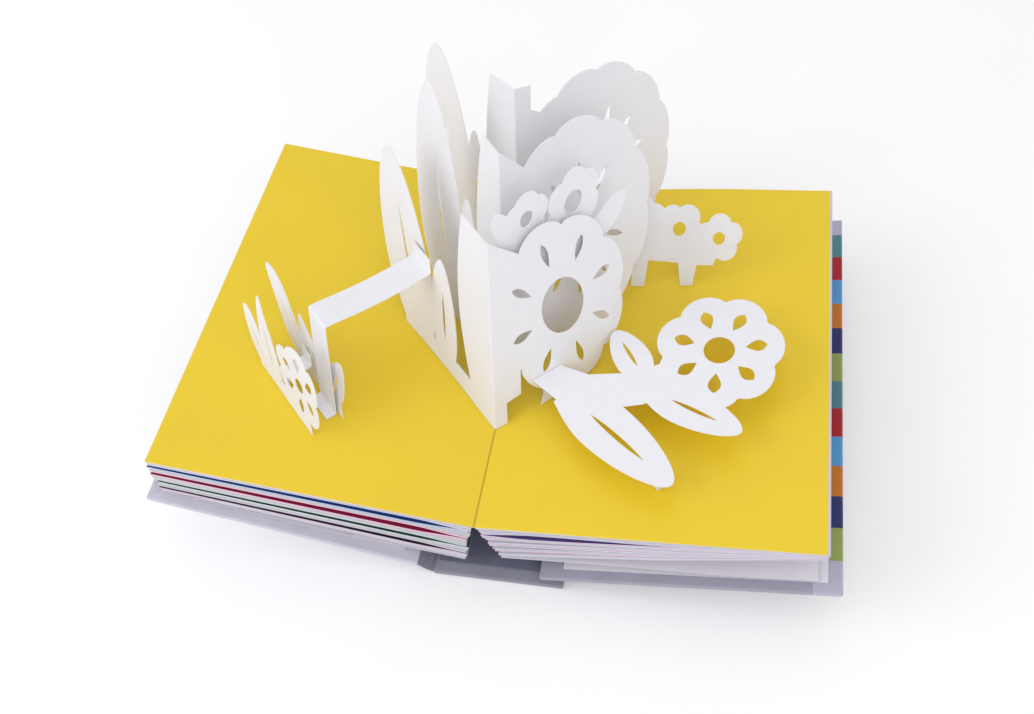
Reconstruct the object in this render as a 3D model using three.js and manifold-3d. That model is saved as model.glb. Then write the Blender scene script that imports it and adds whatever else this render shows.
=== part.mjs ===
// A thick pop-up book, standing open at a plain yellow spread on the flat of its spine.
// Millimetres, +Z up. +X runs to the right-hand page, +Y to the head of the book, and the
// origin is the centre of the spine's underside. Most numbers below are given from the
// gutter, the line where the two pages meet, which lies GUTTER_X from the origin.
import * as THREE from "three";
import { mergeVertices } from "three/addons/utils/BufferGeometryUtils.js";
import Module from "manifold-3d";

const wasm = await Module();
wasm.setup();

// ---- driving dimensions --------------------------------------------------------------
const GUTTER_X = -6.6; // the gutter, from the middle of the spine board
const GUTTER_Z = 48.1; // height of the spread's surface at the gutter
const PAGE_W = 159.7; // one page, gutter to fore-edge
const PAGE_L = 220; // one page, tail to head
const TILT_L = 10.99; // degrees the left page rises from the gutter
const TILT_R = 4.554; // degrees the right page rises from the gutter
const BOARD_L = 230; // the cover boards and the spine board, tail to head
const BOARD_T = 3.1; // wrapped board
const SPINE = [-26.7, 39.9]; // the spine board's two long edges
const SPINE_T = 3.0;
const LEFT_BOARD = { inner: [-34.5, 6.8], length: 138.6, rise: 16.8 };
const RIGHT_BOARD = { inner: [29.0, 7.8], length: 142.4, rise: 9.1 };
const FRONT_HINGE = [-30.0, 3.0]; // the line that the front cover swings on
const BACK_HINGE = [38.0, 4.0]; // the line that the back cover swings on
const SHEET_T = 0.6; // pasted leaves
const CARD_T = 0.7; // the white card of the standing pieces
const GAP = 0.3; // clearance kept between pieces that touch
const LEAN = 24; // degrees that the folds' creases lean back from upright
const FOLD_L = 46; // degrees between the gutter and each fold's left foot
const FOLD_R = [53, 40]; // the same on the right, at the crease and at the far end
const FOLD_R_RUN = 110; // length over which the right-hand panels bend
const FRONT_Y = -55.6; // where each fold's crease meets the gutter
const MIDDLE_Y = -24.0;
const BACK_Y = 17.0;
const ARM = { s: 58.5, width: 15.5, w: 49, reach: 61 }; // the strip that reaches over the left page
const SPRAY_H = 16; // height of the flat spray above the right page

const rad = (d) => (d * Math.PI) / 180;
const V = (x, y, z) => new THREE.Vector3(x, y, z);

// ---- solids ---------------------------------------------------------------------------
function toSolid(geometry) {
  const g = geometry.index ? geometry.clone() : geometry;
  g.deleteAttribute("normal");
  g.deleteAttribute("uv");
  const merged = mergeVertices(g, 1e-4);
  const made = new wasm.Manifold(
    new wasm.Mesh({
      numProp: 3,
      vertProperties: new Float32Array(merged.attributes.position.array),
      triVerts: new Uint32Array(merged.index.array),
    }),
  );
  return made;
}

function toGeometry(solid) {
  const m = solid.getMesh();
  const pos = new Float32Array(m.numVert * 3);
  for (let i = 0; i < m.numVert; i++)
    for (let k = 0; k < 3; k++)
      pos[3 * i + k] = m.vertProperties[i * m.numProp + k];
  const g = new THREE.BufferGeometry();
  g.setAttribute("position", new THREE.BufferAttribute(pos, 3));
  g.setIndex(new THREE.BufferAttribute(new Uint32Array(m.triVerts), 1));
  g.computeVertexNormals();
  return g;
}

const union = (list) => list.reduce((a, b) => a.add(b));

// A profile in X and Z, run along Y from y0 to y1.
function runAlongY(points, y0, y1) {
  const shape = new THREE.Shape(points.map(([x, z]) => new THREE.Vector2(x, z)));
  const g = new THREE.ExtrudeGeometry(shape, { depth: y1 - y0, bevelEnabled: false, steps: 1 });
  // shape x -> X, shape y -> Z, depth -> -Y, which keeps the faces pointing out
  g.applyMatrix4(
    new THREE.Matrix4().makeBasis(V(1, 0, 0), V(0, 0, 1), V(0, -1, 0)).setPosition(0, y1, 0),
  );
  return toSolid(g);
}

// A flat outline in the directions u and v from a point, from z0 to z1 along n.
function prism(shape, origin, u, v, n, z0, z1) {
  const g = new THREE.ExtrudeGeometry(shape, { depth: z1 - z0, bevelEnabled: false, steps: 1 });
  g.applyMatrix4(
    new THREE.Matrix4().makeBasis(u, v, n).setPosition(origin.clone().addScaledVector(n, z0)),
  );
  return toSolid(g);
}

// A ribbon of even thickness that follows a polyline of [x, z] points.
function ribbon(points, t) {
  const up = [], down = [];
  points.forEach((p, i) => {
    const a = points[Math.max(i - 1, 0)], b = points[Math.min(i + 1, points.length - 1)];
    const d = new THREE.Vector2(b[0] - a[0], b[1] - a[1]).normalize();
    up.push([p[0] - (d.y * t) / 2, p[1] + (d.x * t) / 2]);
    down.push([p[0] + (d.y * t) / 2, p[1] - (d.x * t) / 2]);
  });
  return [...down, ...up.reverse()];
}

// ---- outlines of the cut paper ------------------------------------------------------
// An outline always runs anticlockwise.
const wound = (pts, sign) => {
  const v = pts.map(([x, y]) => new THREE.Vector2(x, y));
  return THREE.ShapeUtils.area(v) * sign < 0 ? v.reverse() : v;
};
const shapeOf = (pts) => new THREE.Shape(wound(pts, 1));


// A pointed leaf from the middle of its foot to its tip.
function leaf(x0, y0, x1, y1, width, steps = 9) {
  const L = Math.hypot(x1 - x0, y1 - y0), dx = (x1 - x0) / L, dy = (y1 - y0) / L;
  const half = (t) =>
    (width / 2) *
    (t < 0.38 ? 0.55 + 0.45 * Math.sin((t / 0.38) * (Math.PI / 2)) : Math.pow(Math.cos(((t - 0.38) / 0.62) * (Math.PI / 2)), 0.52));
  const right = [], left = [];
  for (let i = 0; i <= steps; i++) {
    const t = i / steps, h = half(t), x = x0 + dx * L * t, y = y0 + dy * L * t;
    if (i === steps) { right.push([x, y]); break; }
    right.push([x + dy * h, y - dx * h]);
    left.push([x - dy * h, y + dx * h]);
  }
  return [...right, ...left.reverse()];
}

// The half leaf beside a crease: its crease height, its tip and its widest place.
function blade(crease, tipX, tipY, wide, steps = 8) {
  const pts = [[-1.5, 0], [wide * 0.62, 0]];
  for (let i = 1; i <= steps; i++) {
    const t = i / steps;
    const x = t < 0.55
      ? wide * (0.62 + 0.38 * Math.sin((t / 0.55) * (Math.PI / 2)))
      : tipX + (wide - tipX) * Math.pow(Math.cos(((t - 0.55) / 0.45) * (Math.PI / 2)), 0.9);
    pts.push([x, tipY * t]);
  }
  return [...pts, [0, crease], [-1.5, crease]];
}

// The narrow slit down a leaf's middle.
function slit(x0, y0, x1, y1, width, from = 0.22, to = 0.72) {
  const ax = x0 + (x1 - x0) * from, ay = y0 + (y1 - y0) * from;
  const bx = x0 + (x1 - x0) * to, by = y0 + (y1 - y0) * to;
  const L = Math.hypot(bx - ax, by - ay), nx = -(by - ay) / L, ny = (bx - ax) / L;
  const h = width / 2;
  const p = (t, k) => [ax + (bx - ax) * t + nx * h * k, ay + (by - ay) * t + ny * h * k];
  return [p(0, 0), p(0.35, -1), p(0.65, -1), p(1, 0), p(0.65, 1), p(0.35, 1)];
}

// A blossom's scalloped edge.
function blossom(cx, cy, rx, ry, petals, depth, turn = 0, steps = 6) {
  const pts = [];
  const n = petals * steps;
  for (let i = 0; i < n; i++) {
    const a = (i / n) * 2 * Math.PI;
    const r = 1 - depth * (1 - Math.pow(Math.abs(Math.cos((petals * (a - turn)) / 2)), 0.62));
    pts.push([cx + rx * r * Math.cos(a), cy + ry * r * Math.sin(a)]);
  }
  return pts;
}

const disc = (cx, cy, rx, ry, n = 16) =>
  Array.from({ length: n }, (_, i) => {
    const a = (i / n) * 2 * Math.PI;
    return [cx + rx * Math.cos(a), cy + ry * Math.sin(a)];
  });

// The ring of drop-shaped cuts between a blossom's petals.
function drops(cx, cy, rx, ry, count, r0, r1, width, turn = 0) {
  return Array.from({ length: count }, (_, k) => {
    const a = turn + (k / count) * 2 * Math.PI, ca = Math.cos(a), sa = Math.sin(a);
    const line = [[r0, 0], [r0 + (r1 - r0) * 0.6, width * 0.48], [r0 + (r1 - r0) * 0.9, width * 0.36], [r1, 0]];
    const at = (r, h) => [cx + (r * ca - h * sa) * rx, cy + (r * sa + h * ca) * ry];
    return [...line.map(([r, h]) => at(r, -h)), ...line.slice(1, -1).reverse().map(([r, h]) => at(r, h))];
  });
}

// ---- where the pages lie ---------------------------------------------------------------
const aL = rad(TILT_L), aR = rad(TILT_R);
const nL = V(Math.sin(aL), 0, Math.cos(aL)); // up from the left page
const nR = V(-Math.sin(aR), 0, Math.cos(aR)); // up from the right page
const xL = V(-Math.cos(aL), 0, Math.sin(aL)); // along the left page, away from the gutter
const xR = V(Math.cos(aR), 0, Math.sin(aR)); // along the right page, away from the gutter
const CREASE = V(0, Math.sin(rad(LEAN)), Math.cos(rad(LEAN))); // up the crease of every fold

// The foot of a fold at distance s from its crease, on the page: s < 0 is the left panel.
function footAt(s, y0) {
  if (s < 0) {
    const x = s * Math.sin(rad(FOLD_L));
    return V(x, y0 - s * Math.cos(rad(FOLD_L)), GUTTER_Z - x * Math.tan(aL));
  }
  const h0 = rad(FOLD_R[0]), k = rad(FOLD_R[1] - FOLD_R[0]) / FOLD_R_RUN;
  const x = (Math.cos(h0) - Math.cos(h0 + k * s)) / k;
  const y = (Math.sin(h0 + k * s) - Math.sin(h0)) / k;
  return V(x, y0 + y, GUTTER_Z + x * Math.tan(aR));
}

// The whole folded wall of one fold, from the page up, before it is cut to its outline.
function foldWall(y0, sMin, sMax, w0, w1, t) {
  const S = [sMin, 0];
  const steps = 5;
  for (let i = 1; i <= steps; i++) S.push((sMax * i) / steps);
  const feet = S.map((s) => footAt(s, y0));
  const faceN = [];
  for (let i = 0; i + 1 < feet.length; i++)
    faceN.push(feet[i + 1].clone().sub(feet[i]).cross(CREASE).normalize());
  const offs = feet.map((_, i) => {
    const a = faceN[Math.max(i - 1, 0)], b = faceN[Math.min(i, faceN.length - 1)];
    const m = a.clone().add(b).normalize();
    return m.multiplyScalar(t / 2 / m.dot(a));
  });
  const pos = [], idx = [];
  feet.forEach((p, i) => {
    for (const [side, w] of [[1, w0], [1, w1], [-1, w1], [-1, w0]]) {
      const q = p.clone().addScaledVector(CREASE, w).addScaledVector(offs[i], side);
      pos.push(q.x, q.y, q.z);
    }
  });
  const quad = (a, b, c, d) => idx.push(a, b, c, a, c, d);
  for (let i = 0; i + 1 < feet.length; i++) {
    const a = 4 * i, b = 4 * (i + 1);
    quad(a, b, b + 1, a + 1); // front
    quad(a + 1, b + 1, b + 2, a + 2); // top
    quad(a + 2, b + 2, b + 3, a + 3); // back
    quad(a + 3, b + 3, b, a); // bottom
  }
  quad(0, 1, 2, 3);
  const e = 4 * (feet.length - 1);
  quad(e + 3, e + 2, e + 1, e);
  const g = new THREE.BufferGeometry();
  g.setAttribute("position", new THREE.Float32BufferAttribute(pos, 3));
  g.setIndex(idx);
  return toSolid(g);
}

// Directions of a fold's left panel, for outlines measured from the crease outward.
const dL = footAt(-1, 0).sub(footAt(0, 0)).normalize();
// Across the left page, square to the left panels, towards the tail.
const acrossL = dL.clone().cross(nL).normalize();
if (acrossL.y > 0) acrossL.negate();

// Outlines joined into one card, with their holes cut after they are joined. A card lies
// from z0 to z1 along n, and map turns an outline's numbers into the card's own.
function card(list, origin, u, v, n, z0, z1, map = (p) => p) {
  const body = union(list.map(({ pts }) => prism(shapeOf(pts.map(map)), origin, u, v, n, z0, z1)));
  return list
    .flatMap(({ holes = [] }) => holes)
    .reduce((made, h) => made.subtract(prism(shapeOf(h.map(map)), origin, u, v, n, z0 - 0.5, z1 + 0.5)), body);
}
const mirrored = ([x, y]) => [-x, y];

// What lies above the two pages, clear of them by the gap.
const above = union([
  runAlongY([[0, GUTTER_Z + GAP + 0.05], [190, GUTTER_Z + GAP + 0.05 + 190 * Math.tan(aR)], [190, 260], [0, 260]], -160, 160),
  runAlongY([[0.5, GUTTER_Z + GAP + 0.09], [0.5, 260], [-190, 260], [-190, GUTTER_Z + GAP + 0.05 + 190 * Math.tan(aL)], [0, GUTTER_Z + GAP + 0.05]], -160, 160),
]);

// One V fold: a left panel of leaves and a right panel with a blossom, in one folded card.
function fold(y0, left, right, tabs) {
  const sMax = 104, sMin = -108;
  const wall = foldWall(y0, sMin, sMax, 0, 132, CARD_T);
  const foot = footAt(0, y0);
  const uL = dL.clone().negate();
  const chordEnd = footAt(sMax, y0).sub(foot), chord = chordEnd.length();
  const uR = chordEnd.normalize();
  const k = chord / sMax; // arc length to chord
  const cut = card(left, foot, uL, CREASE, uL.clone().cross(CREASE).normalize(), -6, 6, mirrored).add(
    card(right, foot, uR, CREASE, uR.clone().cross(CREASE).normalize(), -9, 9, ([x, y]) => [x * k, y]),
  );
  // the glued tabs lie on the page behind the panels
  const glued = tabs.map(([side, from, to]) => {
    const A = footAt(side * from, y0), B = footAt(side * to, y0);
    const run = B.clone().sub(A), L = run.length();
    run.normalize();
    const n = side < 0 ? nL : nR;
    const v = n.clone().cross(run).normalize(); // run, v and n are right-handed
    const back = v.y > 0 ? 1 : -1;
    return prism(shapeOf([[0, -0.3 * back], [3.5, 7 * back], [L - 3.5, 7 * back], [L, -0.3 * back]]), A, run, v, n, 0.2, 0.95);
  });
  return union([wall.intersect(cut), ...glued]).intersect(above);
}

// A blossom with its holes.
function bloom(cx, cy, rx, ry, petals, depth, turn, eye, [r0, r1, width], droop) {
  const lean = (pts) => pts.map(([x, y]) => [x, y - droop * (x - cx)]);
  return {
    pts: lean(blossom(cx, cy, rx, ry, petals, depth, turn)),
    holes: [
      disc(cx, cy, rx * eye, ry * eye, 14),
      ...drops(cx, cy, rx, ry, petals, r0, r1, width, turn),
    ].map(lean),
  };
}

// ---- the cover --------------------------------------------------------------------------
const half = BOARD_L / 2;
function boardProfile(b, side) {
  const a = rad(b.rise), d = [side * Math.cos(a), Math.sin(a)], n = [-side * Math.sin(a), Math.cos(a)];
  const p = (u, h) => [b.inner[0] + d[0] * u + n[0] * h, b.inner[1] + d[1] * u + n[1] * h];
  return p;
}
const lp = boardProfile(LEFT_BOARD, -1), rp = boardProfile(RIGHT_BOARD, 1);
const roundEnds = (p, len, t, r) => [p(r, 0), p(len - r, 0), p(len, r), p(len, t - r), p(len - r, t), p(r, t), p(0, t - r), p(0, r)];
const leftBoard = roundEnds(lp, LEFT_BOARD.length, BOARD_T, 0.6).reverse();
const rightBoard = roundEnds(rp, RIGHT_BOARD.length, BOARD_T, 0.6);

const frontCover = runAlongY(leftBoard, -half, half).add(
  runAlongY(ribbon([[-30.6, 3.45], [-33.0, 6.0], [-35.2, 8.0]], 0.9), -half + 0.4, half - 0.4),
);
const backCover = runAlongY(rightBoard, -half, half).add(
  runAlongY(ribbon([[37.35, 4.5], [33.0, 6.6], [29.4, 8.9]].reverse(), 0.9).reverse(), -half + 0.4, half - 0.4),
);

const spineBoard = runAlongY(
  [[SPINE[0] + 0.7, 0], [SPINE[1] - 0.7, 0], [SPINE[1], 0.7], [SPINE[1], SPINE_T - 0.7], [SPINE[1] - 0.7, SPINE_T], [SPINE[0] + 0.7, SPINE_T], [SPINE[0], SPINE_T - 0.7], [SPINE[0], 0.7]],
  -half, half,
)
  .add(runAlongY(ribbon([[-26.2, 1.3], [-27.8, 1.7], [-29.2, 2.5]], 0.9), -half + 0.4, half - 0.4))
  .add(runAlongY([[38.75, 2.5], [39.75, 2.5], [39.6, 3.9], [38.75, 3.9]], -half + 0.4, half - 0.4));

// ---- the leaves pasted to the boards -------------------------------------------------
const pasteL = runAlongY([lp(8, BOARD_T + GAP), lp(LEFT_BOARD.length - 6.5, BOARD_T + GAP), lp(LEFT_BOARD.length - 6.5, BOARD_T + GAP + SHEET_T), lp(8, BOARD_T + GAP + SHEET_T)].reverse(), -110, 110);
const pasteR = runAlongY([rp(12, BOARD_T + GAP), rp(RIGHT_BOARD.length - 6.2, BOARD_T + GAP), rp(RIGHT_BOARD.length - 6.2, BOARD_T + GAP + SHEET_T), rp(12, BOARD_T + GAP + SHEET_T)], -110, 110);
const hingeLeafR = runAlongY(ribbon([[9.6, 18.1], [30, 20.4], [60, 23.4], [87.3, 25.5], [104, 26.3], [112.5, 26.9], [124.6, 28.2], [158.5, 33.6]], SHEET_T), -110, 110);
const hingeLeafL = runAlongY(ribbon([[-9.6, 11.0], [-24, 14.2], [-44, 18.0], [-58, 20.6], [-66, 22.4]].reverse(), SHEET_T), -110, 110);

// ---- the block of pages ----------------------------------------------------------------
// Left: five thick spreads with air between them, joined at the spine. f runs from the top
// surface, 0, to the underside, 1.
const leftAt = (f, u) => {
  const a = [-1.0 - 7.8 * f, GUTTER_Z - 36.1 * f], b = [-PAGE_W * Math.cos(aL) - 3.4 * f, GUTTER_Z + PAGE_W * Math.sin(aL) - 29.5 * f];
  return [a[0] + (b[0] - a[0]) * u, a[1] + (b[1] - a[1]) * u];
};
const rightAt = (f, u) => {
  // the underside bends a little, so it is drawn through three points
  const top = [PAGE_W * Math.cos(aR) * u, GUTTER_Z + PAGE_W * Math.sin(aR) * u];
  const low = u < 0.52 ? [8.9 + (87.3 - 8.9) * (u / 0.52), 19.1 + (35.4 - 19.1) * (u / 0.52)] : [87.3 + (158.8 - 87.3) * ((u - 0.52) / 0.48), 35.4 + (55.6 - 35.4) * ((u - 0.52) / 0.48)];
  return [top[0] + (low[0] - top[0]) * f, top[1] + (low[1] - top[1]) * f];
};
const block = [];
block.push([0, GUTTER_Z]);
block.push(leftAt(0, 1));
const SLOTS_L = [[0.095, 0.19], [0.319, 0.434], [0.576, 0.678], [0.793, 0.888]];
for (const [f0, f1] of SLOTS_L) {
  block.push(leftAt(f0, 1), leftAt(f0, 0.11), leftAt(f1, 0.11), leftAt(f1, 1));
}
block.push(leftAt(1, 1), leftAt(1, 0));
block.push(leftAt(0.05, 0.004)); // up the inner side of the left pages to the joining card
block.push([1.0, GUTTER_Z - 1.3]);
// the right pages step outward, with thin wedges of air open towards the spine
const SLOTS_R = [[0.2, 0.26, 0.52], [0.42, 0.5, 0.55], [0.64, 0.7, 0.5], [0.83, 0.87, 0.45]];
block.push([1.6, GUTTER_Z - 1.3]);
for (const [f0, f1, u1] of SLOTS_R) {
  const m = (f0 + f1) / 2;
  block.push(rightAt(f0, 0.002), rightAt(m - 0.008, u1), rightAt(m + 0.008, u1), rightAt(f1, 0.01));
}
block.push(rightAt(1, 0), rightAt(1, 0.52), rightAt(1, 1), rightAt(0, 1));
const pageBlock = runAlongY(block, -PAGE_L / 2, PAGE_L / 2);

// ---- the three V folds ---------------------------------------------------------------
// Left panels are measured outward from the crease, right panels the same way.
const leafWith = (x0, y0, x1, y1, w, sw = 2.2) => ({ pts: leaf(x0, y0, x1, y1, w), holes: [slit(x0, y0, x1, y1, sw)] });
const band = (to, h0, h1) => ({ pts: [[-1.5, 0], [to, 0], [to, h1], [-1.5, h0]] });

const frontFold = fold(
  FRONT_Y,
  [{ pts: blade(101, 21, 101, 27) }, band(80, 13, 9), leafWith(43, 3, 42, 62, 22), leafWith(66, 3, 86, 92, 43)],
  [{ pts: [[-1.5, 0], [7, 0], [7, 12], [15, 13], [16, 88], [0, 101], [-1.5, 101]] }, bloom(40, 48.5, 38, 46, 8, 0.1, rad(22.5), 0.32, [0.5, 0.8, 0.1], 0.3), { pts: [[26, 0], [54, 0], [50, 12], [30, 12]] }],
  [[-1, 4, 74], [1, 28, 52]],
);
const middleFold = fold(
  MIDDLE_Y,
  [{ pts: blade(121, 14, 121, 21) }, band(68, 13, 9), leafWith(32, 3, 29, 78, 19), leafWith(51, 3, 60, 118, 43)],
  [{ pts: [[-1.5, 0], [9, 0], [9, 12], [18, 13], [20, 100], [9, 112], [0, 121], [-1.5, 121]] }, bloom(44.5, 60, 45.5, 57, 10, 0.06, rad(18), 0.12, [0.3, 0.62, 0.06], 0.2), { pts: [[30, 0], [64, 0], [60, 12], [34, 12]] }],
  [[-1, 4, 62], [1, 32, 62]],
);
const backFold = fold(
  BACK_Y,
  [{ pts: blade(123, 20, 119, 26) }, band(74, 13, 9), leafWith(38, 3, 36, 80, 20), leafWith(58, 3, 68, 106, 46)],
  [{ pts: [[-1.5, 0], [9, 0], [9, 12], [18, 13], [20, 102], [9, 109], [9, 121], [0, 123], [-1.5, 123]] }, bloom(48, 57.5, 50, 56, 12, 0.05, rad(15), 0.12, [0.3, 0.62, 0.06], 0.2), { pts: [[32, 0], [68, 0], [64, 12], [36, 12]] }],
  [[-1, 4, 68], [1, 34, 66]],
);

// ---- the arm over the left page and the small standing pieces at its end -----------------
// q is the distance in front of the front fold's left panel, w the height up the lean.
const leftPoint = (s, q, w) => footAt(-s, FRONT_Y).addScaledVector(acrossL, q).addScaledVector(CREASE, w);
// A card bent along lines that run with the fold's foot: a polyline of [q, w], width along s.
function bentStrip(line, s0, s1, t) {
  const O = footAt(0, FRONT_Y);
  const profile = ribbon(line, t);
  const g = new THREE.ExtrudeGeometry(shapeOf(profile), { depth: s1 - s0, bevelEnabled: false, steps: 1 });
  const m = new THREE.Matrix4().makeBasis(acrossL, CREASE, dL).setPosition(O.clone().addScaledVector(dL, s0));
  g.applyMatrix4(m);
  if (m.determinant() < 0) g.setIndex([...g.getAttribute("position").array.keys()].slice(0, g.getAttribute("position").count).map((i) => (i % 3 === 1 ? i + 1 : i % 3 === 2 ? i - 1 : i)));
  return toSolid(g);
}
const armStrip = bentStrip(
  [[0.95, ARM.w + 8], [0.95, ARM.w + 0.4], [ARM.reach - 0.3, ARM.w], [ARM.reach, 0.75], [ARM.reach + 5.5, 0.75]],
  ARM.s - ARM.width / 2, ARM.s + ARM.width / 2, CARD_T,
);
function leftPlate(list, q, t) {
  const O = footAt(0, FRONT_Y).addScaledVector(acrossL, q);
  const u = dL.clone().negate();
  return card(list, O, u, CREASE, u.clone().cross(CREASE).normalize(), -t / 2, t / 2, mirrored).intersect(above);
}
const leftLeaves = leftPlate(
  [{ pts: [[47, 0], [90, 0], [88, 8], [49, 8]] }, leafWith(76, 2, 113, 38, 18, 1.8), leafWith(68, 2, 79, 35, 15, 1.6), leafWith(58, 2, 46, 30, 15, 1.6)],
  ARM.reach - 1.6, CARD_T,
);
const leftBlossom = leftPlate(
  [{ pts: [[47, 0], [98, 0], [96, 8], [49, 8]] }, { pts: blossom(56, 20.5, 19, 20, 6, 0.2, rad(30)), holes: [disc(56, 20.5, 3.4, 3.6, 12), ...drops(56, 20.5, 19, 20, 6, 0.34, 0.74, 0.26, rad(30))] }, leafWith(88, 2, 108, 27, 16, 1.6), leafWith(79, 2, 90, 44, 16, 1.6)],
  ARM.reach + 15.5, CARD_T,
);
const leftLink = bentStrip(
  [[ARM.reach + 1.1, 20], [ARM.reach + 1.15, 13.4], [ARM.reach + 14.2, 13], [ARM.reach + 14.3, 8]].reverse(),
  69.5, 77.5, CARD_T,
);

// ---- the flat spray over the right page -------------------------------------------------
const O_R = V(0, 0, GUTTER_Z);
const toHead = V(0, 1, 0);
const overRight = (list, h, t) => card(list, O_R, xR, toHead, nR, h - t / 2, h + t / 2);
const flatSpray = overRight(
  [
    { pts: [[19.0, -36.0], [31.0, -25.8], [46, -31], [70, -29], [86, -20], [93, -38], [74, -47], [48, -52], [32, -46]] },
    { pts: leaf(36, -42, 92, -89, 27, 11), holes: [slit(36, -42, 92, -89, 2.6, 0.25, 0.75)] },
    { pts: leaf(74, -32, 56, -4, 18, 9), holes: [slit(74, -32, 56, -4, 2, 0.25, 0.75)] },
    { pts: leaf(76, -38, 121, -60, 21, 9), holes: [slit(76, -38, 121, -60, 2.2, 0.25, 0.75)] },
    {
      pts: blossom(108, -14, 31, 34, 7, 0.15, rad(10), 8),
      holes: [disc(108, -14, 7.5, 8, 16), ...drops(108, -14, 31, 34, 7, 0.4, 0.74, 0.2, rad(10))],
    },
  ],
  SPRAY_H, CARD_T,
);
// the folded leg under the spray's long leaf
const legProfile = ribbon([[0, 15.2], [-0.2, 8], [-0.5, 0.75], [-6, 0.75]], 0.6);
const sprayLeg = (() => {
  const g = new THREE.ExtrudeGeometry(shapeOf(legProfile), { depth: 9, bevelEnabled: false, steps: 1 });
  const u = V(Math.cos(rad(225)), Math.sin(rad(225)), 0), v = nR.clone(), n = u.clone().cross(v).normalize();
  g.applyMatrix4(new THREE.Matrix4().makeBasis(u, v, n).setPosition(V(0, 0, GUTTER_Z).addScaledVector(xR, 80.5).add(V(0, -81.5, 0)).addScaledVector(n, -4.5)));
  return toSolid(g);
})();

// ---- the garlands ----------------------------------------------------------------------
// A row of small flowers on the right page, behind the front fold.
const rowU = V(1, 0.04, Math.tan(aR)).normalize();
const garlandRight = card(
  [
    { pts: [[57.5, -1], [64.5, -1], [66, 15], [82, 13], [83.5, -1], [90, -1], [91.5, 12], [100, 12], [102, 20], [58, 25]] },
    { pts: blossom(61, 36, 14, 16, 5, 0.24, rad(18)), holes: [disc(61, 36, 3.6, 4.2, 12)] },
    { pts: blossom(81.5, 32, 13, 14.5, 5, 0.24, rad(54)), holes: [disc(81.5, 32, 3.4, 3.9, 12)] },
    { pts: blossom(102, 27, 12, 13.5, 5, 0.24, rad(18)), holes: [disc(102, 27, 3.1, 3.6, 12)] },
  ],
  V(0, 36.6, GUTTER_Z), rowU, CREASE, rowU.clone().cross(CREASE).normalize(), -CARD_T / 2, CARD_T / 2,
).intersect(above);
// Small flowers and a leaf glued behind the top of the front fold's right panel.
const garlandMiddle = (() => {
  const foot = footAt(0, FRONT_Y), u = footAt(80, FRONT_Y).sub(foot).normalize();
  const n = u.clone().cross(CREASE).normalize();
  return card(
    [
      { pts: [[12, 76], [66, 62], [66, 78], [12, 92]] },
      { pts: blossom(49, 95, 15, 16.5, 6, 0.16, rad(30)), holes: [disc(49, 95, 5, 5.6, 14)] },
      { pts: blossom(23, 100, 12, 13, 5, 0.17, rad(18)), holes: [disc(23, 100, 3.4, 3.8, 12)] },
      { pts: leaf(18, 86, 6, 110, 12, 10) },
      { pts: leaf(60, 70, 79, 86, 13, 10) },
    ],
    foot.clone().addScaledVector(n, -3.4), u, CREASE, n, -CARD_T / 2, CARD_T / 2,
  );
})();

// ---- materials and assembly ---------------------------------------------------------------
const paper = (color, roughness = 0.72) => new THREE.MeshStandardMaterial({ color, roughness, metalness: 0 });
const COVER = 0xa9a8b8, SPINE_IN = 0x6a6c80, YELLOW = 0xecd030, WHITE = 0xeeecf0, ENDPAPER = 0xe9e8ee;

const book = new THREE.Group();
book.name = "pop_up_book";
const shifted = new THREE.Group();
shifted.position.set(-(SPINE[0] + SPINE[1]) / 2, 0, 0);
book.add(shifted);
if (Math.abs((SPINE[0] + SPINE[1]) / 2 + GUTTER_X) > 1e-6) throw new Error("the gutter's place doesn't match the spine");

function add(name, solid, material) {
  const mesh = new THREE.Mesh(toGeometry(solid), material);
  mesh.name = name;
  shifted.add(mesh);
}
add("spine_board", spineBoard, paper(SPINE_IN, 0.6));
add("front_cover", frontCover, paper(COVER, 0.5));
add("back_cover", backCover, paper(COVER, 0.5));
add("front_pastedown", pasteL, paper(ENDPAPER));
add("back_pastedown", pasteR, paper(ENDPAPER));
add("front_hinge_leaf", hingeLeafL, paper(ENDPAPER));
add("back_hinge_leaf", hingeLeafR, paper(ENDPAPER));
add("page_block", pageBlock, paper(YELLOW, 0.6));
add("front_fold", frontFold, paper(WHITE));
add("middle_fold", middleFold, paper(WHITE));
add("back_fold", backFold, paper(WHITE));
add("arm_strip", armStrip, paper(WHITE));
add("left_leaves", leftLeaves, paper(WHITE));
add("left_blossom", leftBlossom, paper(WHITE));
add("left_link", leftLink, paper(WHITE));
add("flat_spray", flatSpray, paper(WHITE));
add("spray_leg", sprayLeg, paper(WHITE));
add("garland_right", garlandRight, paper(WHITE));
add("garland_middle", garlandMiddle, paper(WHITE));

export default book;
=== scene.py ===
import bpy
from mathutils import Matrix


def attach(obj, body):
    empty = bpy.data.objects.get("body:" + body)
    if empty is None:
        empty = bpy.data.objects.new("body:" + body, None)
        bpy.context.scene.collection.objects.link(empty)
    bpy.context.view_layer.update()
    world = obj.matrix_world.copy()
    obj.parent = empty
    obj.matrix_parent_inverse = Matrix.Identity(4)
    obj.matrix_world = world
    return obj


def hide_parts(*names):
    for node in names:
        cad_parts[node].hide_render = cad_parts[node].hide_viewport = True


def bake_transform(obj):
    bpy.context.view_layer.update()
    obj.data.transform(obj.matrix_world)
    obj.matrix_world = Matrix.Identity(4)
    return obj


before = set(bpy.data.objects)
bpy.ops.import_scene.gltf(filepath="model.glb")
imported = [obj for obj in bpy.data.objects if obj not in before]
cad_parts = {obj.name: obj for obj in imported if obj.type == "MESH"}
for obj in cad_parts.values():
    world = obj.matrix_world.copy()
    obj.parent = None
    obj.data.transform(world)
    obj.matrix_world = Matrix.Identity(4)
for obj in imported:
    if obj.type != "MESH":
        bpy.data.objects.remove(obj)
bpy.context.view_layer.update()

import math

import bmesh
import bpy
import numpy as np
from mathutils import Matrix, Vector
from mathutils.geometry import delaunay_2d_cdt

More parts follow.
